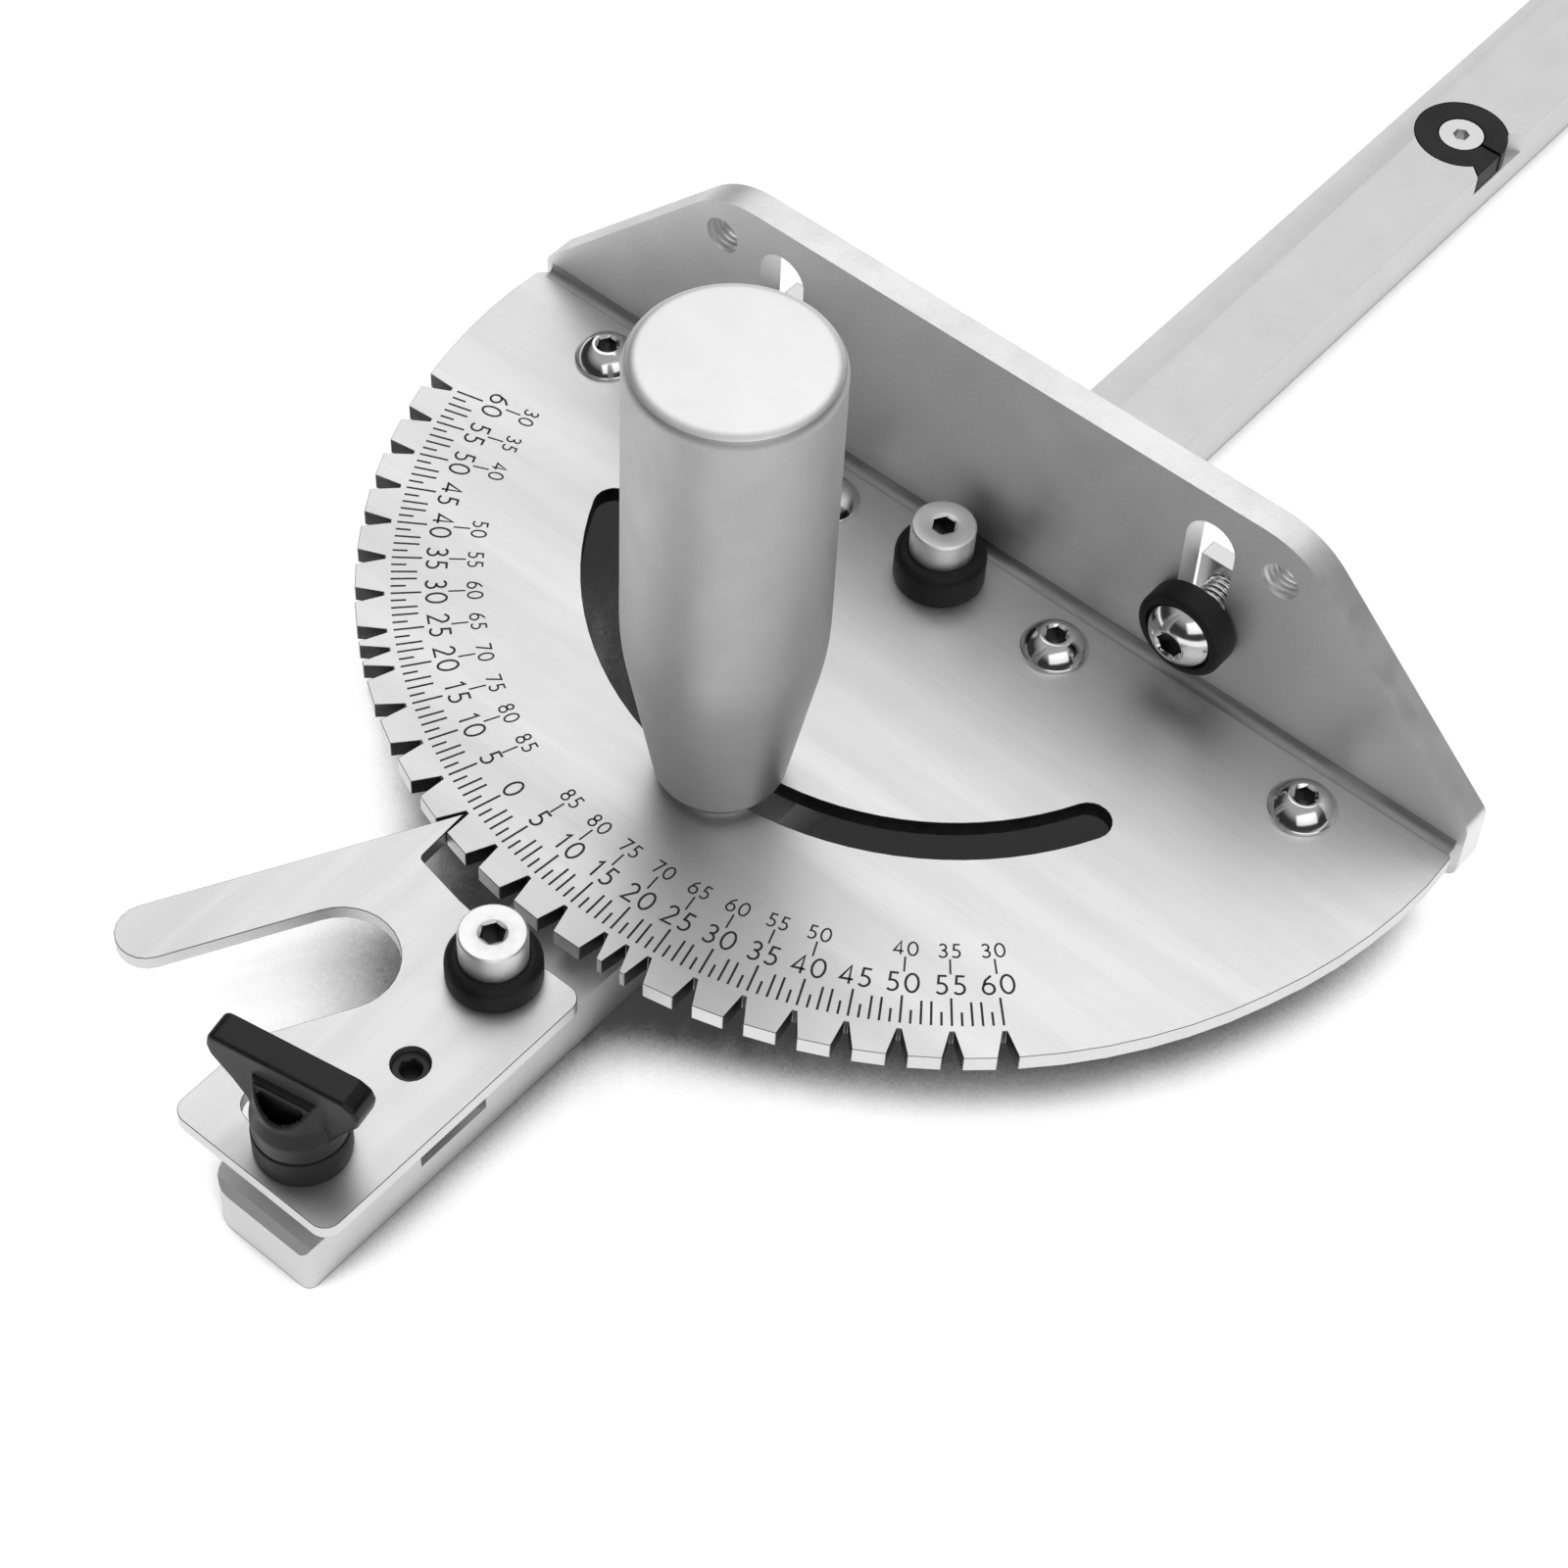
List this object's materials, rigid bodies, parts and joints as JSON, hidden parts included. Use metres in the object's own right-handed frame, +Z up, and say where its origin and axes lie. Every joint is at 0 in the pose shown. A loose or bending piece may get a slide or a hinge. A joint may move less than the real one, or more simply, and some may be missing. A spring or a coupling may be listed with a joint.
{
  "type": "table saw mitre gauge",
  "caption": "Table-saw mitre gauge: guide bar for a tabletop slot, swivelling notched protractor head with an upright fence, sprung stop lever, clamping handle and wing knob.",
  "frame": {"origin": "on the guide bar's underside, directly below the head's pivot axis", "axes": "+Z up, +Y along the guide bar away from the stop lever and through the fence's working face, +X to the right when the fence is seen from the lever"},
  "size_m": [0.1798, 0.45, 0.1012],
  "materials": {
    "bar_aluminium": "fine satin anodised",
    "handle_aluminium": "satin anodised",
    "fence_aluminium": "bead-blasted and anodised",
    "plate_steel": "brushed",
    "fastener_steel": "polished",
    "black_plastic": "moulded satin",
    "black_oxide": "black oxide",
    "brass": "turned"
  },
  "bodies": {
    "bar": {"guide_bar": "bar_aluminium", "riser_block": "bar_aluminium", "lever_spring": "fastener_steel", "pivot_bushing": "brass", "pivot_collar": "black_plastic", "pivot_screw": "fastener_steel", "lever_bushing": "brass", "lever_collar": "black_plastic", "lever_screw": "fastener_steel", "handle_stud": "fastener_steel", "handle_washer": "fastener_steel", "knob_stud": "fastener_steel", "knob_collar": "black_plastic", "adjuster_disc_1": "black_plastic", "adjuster_screw_1": "fastener_steel", "adjuster_disc_2": "black_plastic", "adjuster_screw_2": "fastener_steel"},
    "head": {"protractor_plate": "plate_steel", "fence": "fence_aluminium", "plate_screw_1": "fastener_steel", "plate_screw_2": "fastener_steel", "plate_screw_3": "fastener_steel", "plate_screw_4": "fastener_steel"},
    "fence_bolt_l": {"fence_bolt_left": "fastener_steel", "fence_cap_left": "black_plastic", "fence_nut_left": "fastener_steel"},
    "fence_bolt_r": {"fence_bolt_right": "fastener_steel", "fence_cap_right": "black_plastic", "fence_nut_right": "fastener_steel"},
    "lever": {"lever_plate": "plate_steel", "spring_peg": "black_oxide"},
    "handle": {"handle_grip": "handle_aluminium"},
    "knob": {"wing_knob": "black_plastic", "knob_insert": "brass"}
  },
  "joints": [
    {"name": "head_swivel", "type": "hinge", "parent": "bar", "child": "head", "pos_m": [0, 0, 0.0145], "axis": [0, 0, 1], "range_deg": [-60, 60]},
    {"name": "lever_swing", "type": "hinge", "parent": "bar", "child": "lever", "pos_m": [0, -0.0995, 0.0147], "axis": [0, 0, 1], "range_deg": [0, 12], "stiffness_Nm_per_rad": 0.3, "springref_deg": -17.19, "deforming": ["lever_spring"]},
    {"name": "handle_turn", "type": "hinge", "parent": "bar", "child": "handle", "pos_m": [0, -0.0514, 0.05], "axis": [0, 0, 1], "range_deg": [0, 360]},
    {"name": "knob_turn", "type": "hinge", "parent": "bar", "child": "knob", "pos_m": [0, -0.1371, 0.028], "axis": [0, 0, 1], "range_deg": [0, 180]},
    {"name": "fence_bolt_left_slide", "type": "slide", "parent": "head", "child": "fence_bolt_l", "axis": [0, 0, 1], "range_m": [-0.005, 0.016]},
    {"name": "fence_bolt_right_slide", "type": "slide", "parent": "head", "child": "fence_bolt_r", "axis": [0, 0, 1], "range_m": [-0.005, 0.016]}
  ]
}
